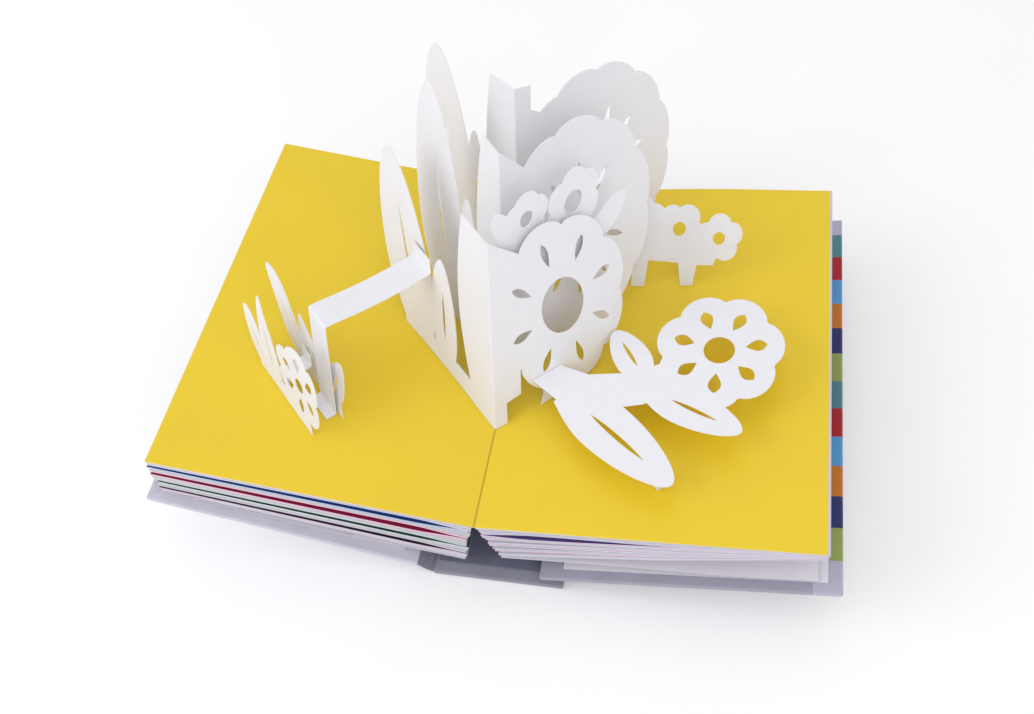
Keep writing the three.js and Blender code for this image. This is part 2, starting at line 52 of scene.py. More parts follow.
# ---- the book's own numbers, in millimetres from the gutter ---------------------------
GUTTER_X, GUTTER_Z = -6.6, 48.1
PAGE_W, PAGE_L = 159.7, 220.0
TILT_L, TILT_R = 10.99, 4.554
BOARD_L, BOARD_T = 230.0, 3.1
SPINE, SPINE_T = (-26.7, 39.9), 3.0
LEFT_BOARD = ((-34.5, 6.8), 138.6, 16.8)
RIGHT_BOARD = ((29.0, 7.8), 142.4, 9.1)
LEAN, FOLD_L, FOLD_R, FOLD_R_RUN = 24.0, 46.0, (53.0, 40.0), 110.0
FRONT_Y, MIDDLE_Y, BACK_Y = -55.6, -24.0, 17.0
ARM_S, ARM_W, ARM_H, ARM_REACH = 58.5, 15.5, 49.0, 61.0
CARD = 0.42  # the white card

rad = math.radians
aL, aR = rad(TILT_L), rad(TILT_R)
nL, nR = Vector((math.sin(aL), 0, math.cos(aL))), Vector((-math.sin(aR), 0, math.cos(aR)))
xL, xR = Vector((-math.cos(aL), 0, math.sin(aL))), Vector((math.cos(aR), 0, math.sin(aR)))
CREASE = Vector((0, math.sin(rad(LEAN)), math.cos(rad(LEAN))))
GUTTER = Vector((0, 0, GUTTER_Z))


def to_row(p):
    """Millimetres from the gutter to metres in the row frame."""
    return ((p[0] + GUTTER_X) * 0.001, p[1] * 0.001, p[2] * 0.001)


def smooth(a, b, x):
    t = min(1.0, max(0.0, (x - a) / (b - a)))
    return t * t * (3 - 2 * t)


def hashed(k):
    """An even, fixed number from -1 to 1 for a whole number."""
    v = math.sin(k * 12.9898 + 4.1414) * 43758.5453
    return (v - math.floor(v)) * 2 - 1


# ---- materials -------------------------------------------------------------------------
def lin(c):
    return tuple(x / 12.92 if x <= 0.04045 else ((x + 0.055) / 1.055) ** 2.4 for x in c)


def rgb(r, g, b):
    return lin((r / 255, g / 255, b / 255))


class Mat:
    """A small helper round one node material."""

    def __init__(self, name, rough, coat=0.0, coat_rough=0.3, sheen=0.0, specular=0.5):
        self.m = bpy.data.materials.new(name)
        self.m.use_nodes = True
        self.nt = self.m.node_tree
        self.b = self.nt.nodes["Principled BSDF"]
        self.b.inputs["Roughness"].default_value = rough
        self.b.inputs["Coat Weight"].default_value = coat
        self.b.inputs["Coat Roughness"].default_value = coat_rough
        self.b.inputs["Sheen Weight"].default_value = sheen
        self.b.inputs["Specular IOR Level"].default_value = specular
        tc = self.nt.nodes.new("ShaderNodeTexCoord")
        mp = self.nt.nodes.new("ShaderNodeMapping")
        mp.inputs["Scale"].default_value = (1000, 1000, 1000)  # metres to millimetres
        self.nt.links.new(tc.outputs["Object"], mp.inputs["Vector"])
        self.mm = mp.outputs["Vector"]

    def node(self, kind, **inputs):
        n = self.nt.nodes.new("ShaderNode" + kind)
        for k, v in inputs.items():
            s = n.inputs[k.replace("_", " ")] if k.replace("_", " ") in n.inputs else n.inputs[k]
            if isinstance(v, bpy.types.NodeSocket):
                self.nt.links.new(v, s)
            else:
                s.default_value = v
        return n

    def noise(self, size, detail=3.0, rough=0.5, stretch=None):
        """Noise with features of about this many millimetres."""
        vec = self.mm
        if stretch:
            vec = self.node("Mapping", Vector=vec, Scale=stretch).outputs["Vector"]
        return self.node("TexNoise", Vector=vec, Scale=1.0 / size, Detail=detail, Roughness=rough).outputs["Fac"]

    def ramp(self, fac, stops, constant=False):
        n = self.node("ValToRGB", Fac=fac)
        r = n.color_ramp
        if constant:
            r.interpolation = "CONSTANT"
        while len(r.elements) < len(stops):
            r.elements.new(0.5)
        for e, (pos, col) in zip(r.elements, stops):
            e.position = pos
            e.color = (*col, 1) if len(col) == 3 else col
        return n.outputs["Color"]

    def mix(self, fac, a, b, mode="MIX"):
        n = self.nt.nodes.new("ShaderNodeMix")
        n.data_type = "RGBA"
        n.blend_type = mode
        for s, v in ((n.inputs[0], fac), (n.inputs[6], a), (n.inputs[7], b)):
            if isinstance(v, bpy.types.NodeSocket):
                self.nt.links.new(v, s)
            elif isinstance(v, (int, float)):
                s.default_value = v
            else:
                s.default_value = (*v, 1)
        return n.outputs[2]

    def maths(self, op, a, b=0.0, c=0.0):
        n = self.nt.nodes.new("ShaderNodeMath")
        n.operation = op
        for s, v in zip(n.inputs, (a, b, c)):
            if isinstance(v, bpy.types.NodeSocket):
                self.nt.links.new(v, s)
            else:
                s.default_value = v
        return n.outputs[0]

    def fit(self, v, a, b, c, d):
        return self.node("MapRange", Value=v, From_Min=a, From_Max=b, To_Min=c, To_Max=d).outputs[0]

    def base(self, colour):
        self.nt.links.new(colour, self.b.inputs["Base Color"])

    def rough(self, v):
        self.nt.links.new(v, self.b.inputs["Roughness"])

    def bump(self, height, depth, strength=1.0, after=None):
        """Bump of so many millimetres."""
        n = self.node("Bump", Height=height, Distance=depth * 0.001, Strength=strength)
        if after is not None:
            self.nt.links.new(after, n.inputs["Normal"])
        self.nt.links.new(n.outputs["Normal"], self.b.inputs["Normal"])
        return n.outputs["Normal"]


def shade(c, k):
    return tuple(max(0.0, min(1.0, x * k)) for x in c)


def paper(name, colour, rough=0.72, mottle=0.03, fibre=0.05, depth=0.012, coat=0.0, coat_rough=0.35, specular=0.4):
    """Paper or card: cloudy formation at a few millimetres, fine fibres, and a little tooth."""
    m = Mat(name, rough, coat=coat, coat_rough=coat_rough, specular=specular)
    cloud, fine = m.noise(5.0, 4), m.noise(0.35, 5, 0.7)
    fibres = m.noise(0.5, 4, 0.6, stretch=(0.35, 1.6, 1.0))
    c = m.ramp(cloud, [(0.3, shade(colour, 1 - mottle)), (0.7, shade(colour, 1 + mottle * 0.6))])
    c = m.mix(m.fit(fine, 0.3, 0.7, 0, fibre), c, shade(colour, 0.86), "MIX")
    m.base(c)
    m.rough(m.fit(fibres, 0.3, 0.7, rough - 0.05, rough + 0.06))
    n = m.bump(m.mix(0.5, fine, fibres), depth, 0.6)
    m.bump(m.noise(14.0, 2), 0.08, 0.25, after=n)
    return m.m


WHITE = paper("white_card", rgb(238, 238, 243), 0.68, 0.015, 0.05, 0.012)
WHITE_EDGE = paper("white_card_edge", rgb(243, 240, 238), 0.8, 0.02, 0.10, 0.03)
ENDPAPER = paper("endpaper", rgb(232, 229, 236), 0.74, 0.02, 0.08, 0.016)
EDGE = {
    "lilac": paper("edge_lilac", rgb(218, 216, 230), 0.8, 0.04, 0.25, 0.05),
    "grey": paper("edge_grey", rgb(205, 206, 214), 0.8, 0.05, 0.25, 0.05),
    "blue": paper("edge_blue", rgb(196, 212, 238), 0.8, 0.05, 0.25, 0.05),
    "pink": paper("edge_pink", rgb(240, 205, 220), 0.8, 0.05, 0.25, 0.05),
    "rose": paper("edge_rose", rgb(226, 200, 216), 0.8, 0.05, 0.25, 0.05),
    "green": paper("edge_green", rgb(206, 216, 216), 0.8, 0.05, 0.25, 0.05),
    "cream": paper("edge_cream", rgb(238, 226, 180), 0.8, 0.05, 0.25, 0.05),
}


def printed(name, colour, rough=0.5, coat=0.25):
    """A printed, silk-coated page: a very fine dot, slow drift of the ink, and a soft gloss."""
    m = Mat(name, rough, coat=coat, coat_rough=0.42, specular=0.45)
    drift, cloud, dot = m.noise(55.0, 2), m.noise(4.0, 4), m.noise(0.22, 2, 0.6)
    c = m.ramp(drift, [(0.25, shade(colour, 0.972)), (0.75, shade(colour, 1.02))])
    c = m.mix(m.fit(cloud, 0.35, 0.75, 0, 0.05), c, shade(colour, 0.9))
    c = m.mix(m.fit(dot, 0.35, 0.7, 0, 0.05), c, tuple(x + (1 - x) * 0.22 for x in colour))
    # painted shade: the ink is darkened in a thin line along the gutter's crease, for the shade that falls in the fold
    x = m.node("SeparateXYZ", Vector=m.mm).outputs["X"]
    off = m.maths("ABSOLUTE", m.maths("ADD", x, -GUTTER_X))
    c = m.mix(m.fit(off, 0.28, 0.62, 0.62, 0.0), c, shade(colour, 0.32))
    m.base(c)
    m.rough(m.fit(cloud, 0.3, 0.7, rough - 0.05, rough + 0.07))
    n = m.bump(dot, 0.006, 0.5)
    m.bump(m.noise(18.0, 2), 0.12, 0.25, after=n)
    return m.m


YELLOW = printed("yellow_page", rgb(239, 206, 24))
NAVY = printed("navy_page", rgb(22, 66, 146))
MAROON = printed("maroon_page", rgb(156, 8, 66))
GREEN = printed("green_page", rgb(18, 62, 58))
PLUM = printed("plum_page", rgb(36, 14, 40))
PURPLE = printed("purple_page", rgb(92, 74, 140))
PALE = printed("pale_page", rgb(214, 206, 218))


def cover_paper(name, colour, rough=0.5):
    """Matt-laminated paper over board: a soft sheen, faint mottling and a fine grain."""
    m = Mat(name, rough, coat=0.12, coat_rough=0.5, specular=0.4)
    cloud, fine = m.noise(9.0, 4), m.noise(0.5, 3, 0.6)
    rub = m.noise(2.2, 5, 0.65)
    c = m.ramp(cloud, [(0.3, shade(colour, 0.95)), (0.7, shade(colour, 1.04))])
    c = m.mix(m.fit(rub, 0.56, 0.8, 0, 0.16), c, tuple(x + (1 - x) * 0.3 for x in colour))
    m.base(c)
    m.rough(m.fit(cloud, 0.3, 0.7, rough - 0.06, rough + 0.08))
    n = m.bump(fine, 0.02, 0.5)
    m.bump(m.noise(22.0, 2), 0.15, 0.3, after=n)
    return m.m


# one cover paper in three copies. The front cover's copy is painted lighter: painted light, for the board lying in the
# light. The spine's and joints' copy is painted darker: painted shade, for the shade on the joints. The back cover's
# copy lies between them.
COVER_LIT_FRONT = cover_paper("front_cover_paper_painted_light", rgb(206, 204, 218))
COVER_R = cover_paper("back_cover_paper", rgb(160, 158, 174))
COVER_SHADED = cover_paper("spine_and_joint_cover_painted_shade", rgb(142, 142, 158))
LINER = cover_paper("spine_liner", rgb(116, 118, 138), 0.6)

STRIPES = [(150, 168, 84), (32, 44, 104), (206, 122, 22), (84, 160, 214), (176, 8, 24), (74, 136, 140)]


def striped(name):
    """The plain row of colour blocks printed along the back cover's fore-edge."""
    m = Mat(name, 0.48, coat=0.12, coat_rough=0.5, specular=0.4)
    y = m.node("SeparateXYZ", Vector=m.mm).outputs["Y"]
    lo, hi = -99.3, 102.6
    t = m.fit(y, lo - 18, hi + 18, 0, 1)
    grey = rgb(184, 180, 200)
    span = hi - lo + 36
    stops = [(0.0, grey)]
    for i in range(12):
        stops.append(((18 + i * (hi - lo) / 12) / span, rgb(*STRIPES[i % 6])))
    stops.append(((18 + hi - lo) / span, grey))
    c = m.ramp(t, stops, constant=True)
    cloud, rub = m.noise(3.0, 4), m.noise(0.5, 4, 0.65)
    c = m.mix(m.fit(cloud, 0.4, 0.75, 0, 0.12), c, (0.8, 0.8, 0.85), "MULTIPLY")
    c = m.mix(m.fit(rub, 0.6, 0.85, 0, 0.12), c, (0.7, 0.7, 0.75))
    m.base(c)
    m.rough(m.fit(cloud, 0.3, 0.7, 0.42, 0.56))
    m.bump(rub, 0.02, 0.5)
    return m.m


STRIPE = striped("fore_edge_blocks")


# ---- meshes -----------------------------------------------------------------------------
def make(name, verts, faces, mats, index, body=None, replaces=(), sharp=34):
    me = bpy.data.meshes.new(name)
    me.from_pydata([to_row(v) for v in verts], [], faces)
    for m in mats:
        me.materials.append(m)
    me.polygons.foreach_set("material_index", index)
    me.polygons.foreach_set("use_smooth", [True] * len(faces))
    me.update()
    bm = bmesh.new()
    bm.from_mesh(me)
    bmesh.ops.remove_doubles(bm, verts=bm.verts, dist=1e-7)
    for e in bm.edges:
        if len(e.link_faces) != 2 or e.calc_face_angle(0) > rad(sharp):
            e.smooth = False
    bm.to_mesh(me)
    bm.free()
    o = bpy.data.objects.new(name, me)
    bpy.context.scene.collection.objects.link(o)
    if body:
        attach(o, body)
    if replaces:
        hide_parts(*replaces)
    return o


def joined(name, parts, body=None, replaces=(), sharp=34):
    """Several (verts, faces, materials, index) parts as one object."""
    V, F, M, I = [], [], [], []
    for verts, faces, mats, index in parts:
        base = len(V)
        V += verts
        F += [tuple(base + i for i in f) for f in faces]
        slots = []
        for m in mats:
            if m not in M:
                M.append(m)
            slots.append(M.index(m))
        I += [slots[i] for i in index]
    return make(name, V, F, M, I, body, replaces, sharp)


def inside(points, loop):
    """Which of the points lie inside the loop."""
    x, y = points[:, 0], points[:, 1]
    P = np.array(loop)
    Q = np.roll(P, -1, axis=0)
    hit = np.zeros(len(points), bool)
    for (x0, y0), (x1, y1) in zip(P, Q):
        if y0 == y1:
            continue
        cross = ((y0 > y) != (y1 > y)) & (x < (x1 - x0) * (y - y0) / (y1 - y0) + x0)
        hit ^= cross
    return hit


def refined(loop, step):
    out = []
    for a, b in zip(loop, loop[1:] + loop[:1]):
        n = max(1, int(math.ceil(math.dist(a, b) / step)))
        out += [(a[0] + (b[0] - a[0]) * i / n, a[1] + (b[1] - a[1]) * i / n) for i in range(n)]
    return out


def cut_sheet(outlines, holes, surf, t=CARD, rows_x=(), rows_y=(), step=2.5, mats=None, flip=False):
    """A sheet cut to the joined outlines less the holes, laid on the surface surf(a, b)."""
    loops = [refined([tuple(p) for p in l], step) for l in outlines]
    cuts = [refined([tuple(p) for p in l], step) for l in holes]
    pts, edges = [], []
    for l in loops + cuts:
        base = len(pts)
        pts += l
        edges += [(base + i, base + (i + 1) % len(l)) for i in range(len(l))]
    allp = np.array(pts)
    lo, hi = allp.min(0) - 1, allp.max(0) + 1
    for x in rows_x:
        if lo[0] < x < hi[0]:
            edges.append((len(pts), len(pts) + 1))
            pts += [(x, lo[1]), (x, hi[1])]
    for y in rows_y:
        if lo[1] < y < hi[1]:
            edges.append((len(pts), len(pts) + 1))
            pts += [(lo[0], y), (hi[0], y)]
    v, _, f, _, _, _ = delaunay_2d_cdt([Vector(p) for p in pts], edges, [], 0, 1e-5)
    v2 = np.array([(p.x, p.y) for p in v])
    tris = np.array([tuple(q) for q in f if len(q) == 3])
    mid = v2[tris].mean(1)
    area = np.cross(v2[tris[:, 1]] - v2[tris[:, 0]], v2[tris[:, 2]] - v2[tris[:, 0]])
    keep = np.zeros(len(tris), bool)
    for l in loops:
        keep |= inside(mid, l)
    for l in cuts:
        keep &= ~inside(mid, l)
    keep &= np.abs(area) > 1e-7
    tris, area = tris[keep], area[keep]
    tris[area < 0] = tris[area < 0][:, ::-1]
    used = np.unique(tris)
    index = {int(k): i for i, k in enumerate(used)}
    tris = [tuple(index[int(k)] for k in q) for q in tris]
    flat = v2[used]
    top, low = [], []
    h = 0.12
    for a, b in flat:
        p = surf(a, b)
        n = (surf(a + h, b) - surf(a - h, b)).cross(surf(a, b + h) - surf(a, b - h)).normalized()
        if flip:
            n = -n
        top.append(p + n * (t / 2))
        low.append(p - n * (t / 2))
    n = len(flat)
    sides = set()
    for a, b, c in tris:
        sides.update(((a, b), (b, c), (c, a)))
    rim = [(a, b) for a, b in sides if (b, a) not in sides]
    if flip:
        faces = [(c, b, a) for a, b, c in tris] + [(a + n, b + n, c + n) for a, b, c in tris]
        faces += [(a, b, b + n, a + n) for a, b in rim]
    else:
        faces = list(tris) + [(c + n, b + n, a + n) for a, b, c in tris]
        faces += [(b, a, a + n, b + n) for a, b in rim]
    idx = [0] * len(tris) + [1] * len(tris) + [2] * len(rim)
    return top + low, faces, mats or (WHITE, WHITE, WHITE_EDGE), idx


def grid_sheet(us, vs, point, t, mats, flip=False):
    """A sheet over a grid of (u, v); t may be a number or a function of u and v."""
    P = np.array([[tuple(point(u, v)) for v in vs] for u in us])
    du, dv = np.gradient(P, axis=0), np.gradient(P, axis=1)
    N = np.cross(du, dv)
    N /= np.linalg.norm(N, axis=2, keepdims=True)
    if flip:
        N = -N
    T = np.array([[t(u, v) if callable(t) else t for v in vs] for u in us])[..., None]
    A, B = P + N * T / 2, P - N * T / 2
    nu, nv = len(us), len(vs)
    verts = [tuple(p) for p in A.reshape(-1, 3)] + [tuple(p) for p in B.reshape(-1, 3)]
    n = nu * nv
    g = lambda i, j: i * nv + j
    faces, idx = [], []

    def add(q, m):
        faces.append(tuple(reversed(q)) if flip else q)
        idx.append(m)

    for i in range(nu - 1):
        for j in range(nv - 1):
            q = (g(i, j), g(i + 1, j), g(i + 1, j + 1), g(i, j + 1))
            add(q, 0)
            add(tuple(reversed([k + n for k in q])), 1)
    for i in range(nu - 1):
        for j, s in ((0, 1), (nv - 1, -1)):
            a, b = (g(i, j), g(i + 1, j)) if s > 0 else (g(i + 1, j), g(i, j))
            add((b, a, a + n, b + n), 2)
    for j in range(nv - 1):
        for i, s in ((0, -1), (nu - 1, 1)):
            a, b = (g(i, j), g(i, j + 1)) if s > 0 else (g(i, j + 1), g(i, j))
            add((b, a, a + n, b + n), 2)
    return verts, faces, mats, idx


def span(a, b, n):
    return [a + (b - a) * i / n for i in range(n + 1)]


class Path:
    """A smooth line through corners: each corner is rounded with a short curve."""

    def __init__(self, pts, r=1.0, steps=5):
        pts = [Vector((*p, 0)) if len(p) == 2 else Vector(p) for p in pts]
        out = [pts[0]]
        for a, b, c in zip(pts, pts[1:], pts[2:]):
            d = min(r, (b - a).length * 0.45, (c - b).length * 0.45)
            p, q = b + (a - b).normalized() * d, b + (c - b).normalized() * d
            out += [p * (1 - s) ** 2 + b * 2 * s * (1 - s) + q * s * s for s in span(0, 1, steps)]
        out.append(pts[-1])
        self.p = out
        self.d = [0.0]
        for a, b in zip(out, out[1:]):
            self.d.append(self.d[-1] + (b - a).length)
        self.length = self.d[-1]

    def at(self, d):
        for i in range(1, len(self.d)):
            if d <= self.d[i] or i == len(self.d) - 1:
                k = (d - self.d[i - 1]) / max(1e-9, self.d[i] - self.d[i - 1])
                return self.p[i - 1] + (self.p[i] - self.p[i - 1]) * k

    def rows(self, step=5.0):
        out = []
        for a, b in zip(self.d, self.d[1:]):
            n = max(1, int((b - a) / step))
            out += span(a, b, n)[:-1]
        return out + [self.length]


# ---- outlines ----------------------------------------------------------------------------
def leaf(x0, y0, x1, y1, width, steps=26):
    L = math.hypot(x1 - x0, y1 - y0)
    dx, dy = (x1 - x0) / L, (y1 - y0) / L
    right, left = [], []
    for i in range(steps + 1):
        t = 1 - (1 - i / steps) ** 1.9  # closer together towards the tip
        if i == steps:
            right.append((x1, y1))
            break
        h = width / 2 * (0.55 + 0.45 * math.sin(t / 0.38 * math.pi / 2) if t < 0.38 else math.cos((t - 0.38) / 0.62 * math.pi / 2) ** 0.52)
        x, y = x0 + dx * L * t, y0 + dy * L * t
        right.append((x + dy * h, y - dx * h))
        left.append((x - dy * h, y + dx * h))
    return right + left[::-1]


def blade(crease, tip_x, tip_y, wide, steps=24):
    """The half leaf beside a crease."""
    pts = [(-0.2, 0), (wide * 0.62, 0)]
    for i in range(1, steps + 1):
        t = i / steps
        if t < 0.55:
            x = wide * (0.62 + 0.38 * math.sin(t / 0.55 * math.pi / 2))
        else:
            x = tip_x + (wide - tip_x) * max(0.0, math.cos((t - 0.55) / 0.45 * math.pi / 2)) ** 0.9
        pts.append((x, tip_y * t))
    return pts + [(0, crease), (-0.2, crease)], []


def slit(x0, y0, x1, y1, width, start=0.22, end=0.72, steps=12):
    ax, ay = x0 + (x1 - x0) * start, y0 + (y1 - y0) * start
    bx, by = x0 + (x1 - x0) * end, y0 + (y1 - y0) * end
    L = math.hypot(bx - ax, by - ay)
    nx, ny = -(by - ay) / L, (bx - ax) / L
    side = [(i / steps, math.sin(math.pi * i / steps) ** 0.7 * width / 2) for i in range(1, steps)]
    at = lambda t, h: (ax + (bx - ax) * t + nx * h, ay + (by - ay) * t + ny * h)
    return [at(0, 0)] + [at(t, -h) for t, h in side] + [at(1, 0)] + [at(t, h) for t, h in reversed(side)]


def blossom(cx, cy, rx, ry, petals, depth, turn=0.0, steps=18):
    out = []
    for i in range(petals * steps):
        a = i / (petals * steps) * 2 * math.pi
        r = 1 - depth * (1 - abs(math.cos(petals * (a - turn) / 2)) ** 0.62)
        out.append((cx + rx * r * math.cos(a), cy + ry * r * math.sin(a)))
    return out


def disc(cx, cy, rx, ry, n=36):
    return [(cx + rx * math.cos(i / n * 2 * math.pi), cy + ry * math.sin(i / n * 2 * math.pi)) for i in range(n)]


def drops(cx, cy, rx, ry, count, r0, r1, width, turn=0.0):
    out = []
    for k in range(count):
        a = turn + k / count * 2 * math.pi
        ca, sa = math.cos(a), math.sin(a)
        at = lambda r, h: (cx + (r * ca - h * sa) * rx, cy + (r * sa + h * ca) * ry)
        half = []
        for i in range(1, 14):
            t = i / 14
            half.append((r0 + (r1 - r0) * t, width * 0.5 * math.sin(math.pi * t ** 1.35) ** 0.75))
        out.append([at(r0, 0)] + [at(r, -h) for r, h in half] + [at(r1, 0)] + [at(r, h) for r, h in reversed(half)])
    return out


# ---- the V folds ---------------------------------------------------------------------------
def foot_raw(s, y0):
    if s < 0:
        x = s * math.sin(rad(FOLD_L))
        return Vector((x, y0 - s * math.cos(rad(FOLD_L)), GUTTER_Z - x * math.tan(aL)))
    h0, k = rad(FOLD_R[0]), rad(FOLD_R[1] - FOLD_R[0]) / FOLD_R_RUN
    x = (math.cos(h0) - math.cos(h0 + k * s)) / k
    return Vector((x, y0 + (math.sin(h0 + k * s) - math.sin(h0)) / k, GUTTER_Z + x * math.tan(aR)))


def foot(s, y0, r=0.7):
    """The foot line, with the crease rounded as folded card is."""
    if abs(s) >= r:
        return foot_raw(s, y0)
    t = (s + r) / (2 * r)
    return foot_raw(-r, y0) * (1 - t) ** 2 + foot_raw(0, y0) * 2 * t * (1 - t) + foot_raw(r, y0) * t * t


def fold_surface(y0, curl=1.0, wave=0.0):
    def surf(s, w):
        base = foot(s, y0)
        d = (foot(s + 0.2, y0) - foot(s - 0.2, y0)).normalized()
        n = (nL if s < 0 else nR) if abs(s) > 1 else Vector((0, 0, 1))
        lift = n * (CARD / 2 + 0.06)
        if w < 0:  # the glued tab, flat on the page behind the panel
            back = n.cross(d).normalized()
            if back.y < 0:
                back = -back
            return base + lift + back * -w
        front = d.cross(CREASE).normalized()
        if front.y > 0:
            front = -front
        far = min(1.0, abs(s) / 30)
        bow = curl * far * (w / 110) ** 2 * (-2.2 if s < 0 else -1.2)
        bow += wave * far * math.sin(w / 38 + s / 25) * 0.5
        return base + lift * smooth(3.0, 0.0, w) + lift * 0.3 + CREASE * w + front * bow

    return surf


def rows_fold():
    left = [-x for x in span(1.4, 106, 20)]
    return left + [-0.7, -0.42, -0.14, 0.14, 0.42, 0.7] + span(1.4, 106, 28)


def mirrored(loop):
    return [(-x, y) for x, y in loop]


def fold(name, y0, left, right, tabs, curl=1.0, wave=1.0):
    outlines, holes = [], []
    for pts, cuts in left:
        outlines.append(mirrored(pts))
        holes += [mirrored(c) for c in cuts]
    for pts, cuts in right:
        outlines.append(pts)
        holes += list(cuts)
    for side, a, b in tabs:
        outlines.append([(side * a, 0.3), (side * (a + 3.5), -7.0), (side * (b - 3.5), -7.0), (side * b, 0.3)])
    part = cut_sheet(outlines, holes, fold_surface(y0, curl, wave), CARD, rows_x=rows_fold(),
                     rows_y=[-0.5, 0.0, 0.5, 1.5] + span(8, 128, 14), step=2.2)
    return joined(name + "_card", [part], "book", [name])


def band(to, h0, h1):
    return [(-0.2, 0), (to, 0), (to, h1), (-0.2, h0)], []


def leaf_with(x0, y0, x1, y1, w, sw=2.2):
    return leaf(x0, y0, x1, y1, w), [slit(x0, y0, x1, y1, sw)]


def bloom(cx, cy, rx, ry, petals, depth, turn, eye, cut, droop):
    r0, r1, width = cut
    lean = lambda pts: [(x, y - droop * (x - cx)) for x, y in pts]
    return lean(blossom(cx, cy, rx, ry, petals, depth, turn)), [lean(disc(cx, cy, rx * eye, ry * eye)), *map(lean, drops(cx, cy, rx, ry, petals, r0, r1, width, turn))]


fold("front_fold", FRONT_Y,
     [blade(101, 21, 101, 27), band(80, 13, 9), leaf_with(43, 3, 42, 62, 22), leaf_with(66, 3, 86, 92, 43)],
     [([(-0.2, 0), (7, 0), (7, 12), (15, 13), (16, 88), (0, 101), (-0.2, 101)], []), bloom(40, 48.5, 38, 46, 8, 0.1, rad(22.5), 0.32, (0.5, 0.8, 0.1), 0.3),
      ([(26, 0), (54, 0), (50, 12), (30, 12)], [])],
     [(-1, 4, 74), (1, 28, 52)])
fold("middle_fold", MIDDLE_Y,
     [blade(121, 14, 121, 21), band(68, 13, 9), leaf_with(32, 3, 29, 78, 19), leaf_with(51, 3, 60, 118, 43)],
     [([(-0.2, 0), (9, 0), (9, 12), (18, 13), (20, 100), (9, 112), (0, 121), (-0.2, 121)], []), bloom(44.5, 60, 45.5, 57, 10, 0.06, rad(18), 0.12, (0.3, 0.62, 0.06), 0.2),
      ([(30, 0), (64, 0), (60, 12), (34, 12)], [])],
     [(-1, 4, 62), (1, 32, 62)])
fold("back_fold", BACK_Y,
     [blade(123, 20, 119, 26), band(74, 13, 9), leaf_with(38, 3, 36, 80, 20), leaf_with(58, 3, 68, 106, 46)],
     [([(-0.2, 0), (9, 0), (9, 12), (18, 13), (20, 102), (9, 109), (9, 121), (0, 123), (-0.2, 123)], []), bloom(48, 57.5, 50, 56, 12, 0.05, rad(15), 0.12, (0.3, 0.62, 0.06), 0.2),
      ([(32, 0), (68, 0), (64, 12), (36, 12)], [])],
     [(-1, 4, 68), (1, 34, 66)], curl=0.35)

# ---- the arm and the small standing pieces on the left --------------------------------------
dL = (foot_raw(-1, 0) - foot_raw(0, 0)).normalized()
acrossL = dL.cross(nL).normalized()
if acrossL.y > 0:
    acrossL = -acrossL
O_F = foot_raw(0, FRONT_Y)


def left_point(s, q, w):
    return O_F + dL * s + acrossL * q + CREASE * w


def bent_strip(line, s0, s1, sag=0.0, over=(0, 1), r=1.0):
    path = Path(line, r)
    a, b = path.d[-1] * over[0], path.d[-1] * over[1]

    def surf(d, s):
        p = path.at(d)
        t = min(1.0, max(0.0, (d - a) / (b - a)))
        return left_point(s, p.x, p.y - sag * math.sin(math.pi * t))

    return cut_sheet([[(0, s0), (path.length, s0), (path.length, s1), (0, s1)]], [], surf, CARD, rows_x=path.rows(3.0), rows_y=span(s0, s1, 4)[1:-1], step=3.0)


joined("arm_paper", [bent_strip([[0.75, ARM_H + 8], [0.75, ARM_H + 0.4], [ARM_REACH - 0.3, ARM_H], [ARM_REACH, 0.4], [ARM_REACH + 5.5, 0.4]],
                                ARM_S - ARM_W / 2, ARM_S + ARM_W / 2, sag=1.3, over=(0.06, 0.52))], "book", ["arm_strip"])
joined("left_link_paper", [bent_strip([[ARM_REACH + 1.1, 20], [ARM_REACH + 1.15, 13.4], [ARM_REACH + 14.2, 13], [ARM_REACH + 14.3, 8]], 69.5, 77.5)],
       "book", ["left_link"])


def left_plate(name, items, q, curl=1.0):
    outlines = [pts for pts, _ in items]
    holes = [c for _, cuts in items for c in cuts]

    def surf(s, w):
        bend = curl * (0.9 * math.sin((s - 74) / 14) + 1.6 * (w / 35) ** 2 * math.sin(s / 9))
        return left_point(s, q + bend * min(1.0, w / 12), w + 0.25)

    part = cut_sheet(outlines, holes, surf, CARD, rows_x=span(40, 114, 34), rows_y=span(4, 46, 11), step=1.6, flip=True)
    return joined(name + "_card", [part], "book", [name])


left_plate("left_leaves", [([(47, 0), (90, 0), (88, 8), (49, 8)], []), leaf_with(76, 2, 113, 38, 18, 1.8), leaf_with(68, 2, 79, 35, 15, 1.6),
                           leaf_with(58, 2, 46, 30, 15, 1.6)], ARM_REACH - 1.6)
left_plate("left_blossom", [([(47, 0), (98, 0), (96, 8), (49, 8)], []), (blossom(56, 20.5, 19, 20, 6, 0.2, rad(30)), [disc(56, 20.5, 3.4, 3.6), *drops(56, 20.5, 19, 20, 6, 0.34, 0.74, 0.26, rad(30))]),
                            leaf_with(88, 2, 108, 27, 16, 1.6), leaf_with(79, 2, 90, 44, 16, 1.6)], ARM_REACH + 15.5, curl=0.8)

# ---- the spray over the right page ------------------------------------------------------------
SPRAY_H = 16.0


def spray_surface(u, y):
    h = SPRAY_H + 0.9 * math.sin((u - 20) / 34) * math.sin((y + 60) / 40) + 1.1 * ((u - 60) / 70) ** 2 - 0.6
    k = smooth(26, 14, u)  # its root meets the fold's panel
    return GUTTER + xR * u + Vector((0, y, 0)) + nR * (h * (1 - k) + SPRAY_H * k)


